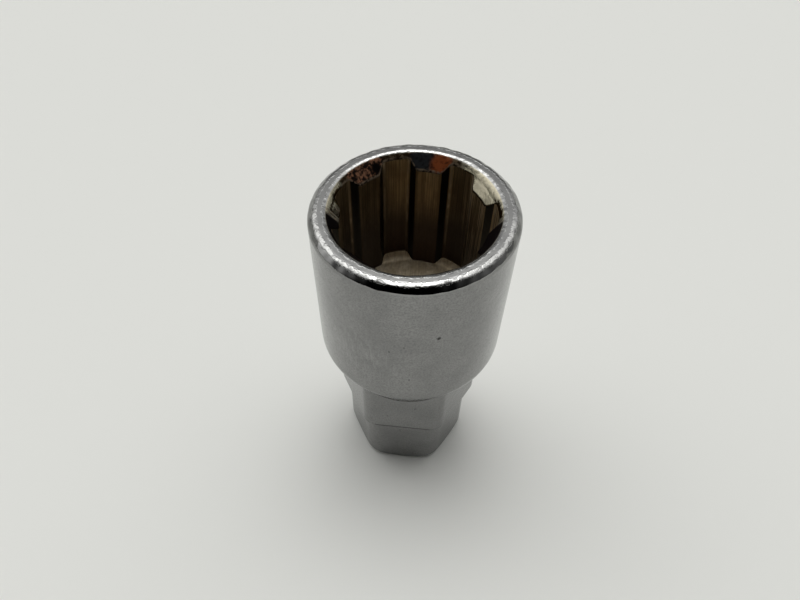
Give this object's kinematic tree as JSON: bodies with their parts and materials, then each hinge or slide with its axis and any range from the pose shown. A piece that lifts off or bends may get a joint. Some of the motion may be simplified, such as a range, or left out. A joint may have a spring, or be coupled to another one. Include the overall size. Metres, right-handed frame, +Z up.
{
  "type": "locking wheel nut key",
  "caption": "Key for splined locking wheel nuts: a round head with a splined socket, and a stepped hexagon for the wheel spanner.",
  "frame": {"origin": "centre of the small hexagon's end face, which the key stands on", "axes": "+Z up the key's axis, out of the socket; -Y is the normal of one flat of the hexagon, the front"},
  "size_m": [0.0284, 0.0284, 0.0554],
  "materials": {
    "satin_chrome": "satin chrome plating over turned and broached steel, dull and brown inside the socket"
  },
  "bodies": {
    "root": {"key_body": "satin_chrome"}
  },
  "joints": []
}
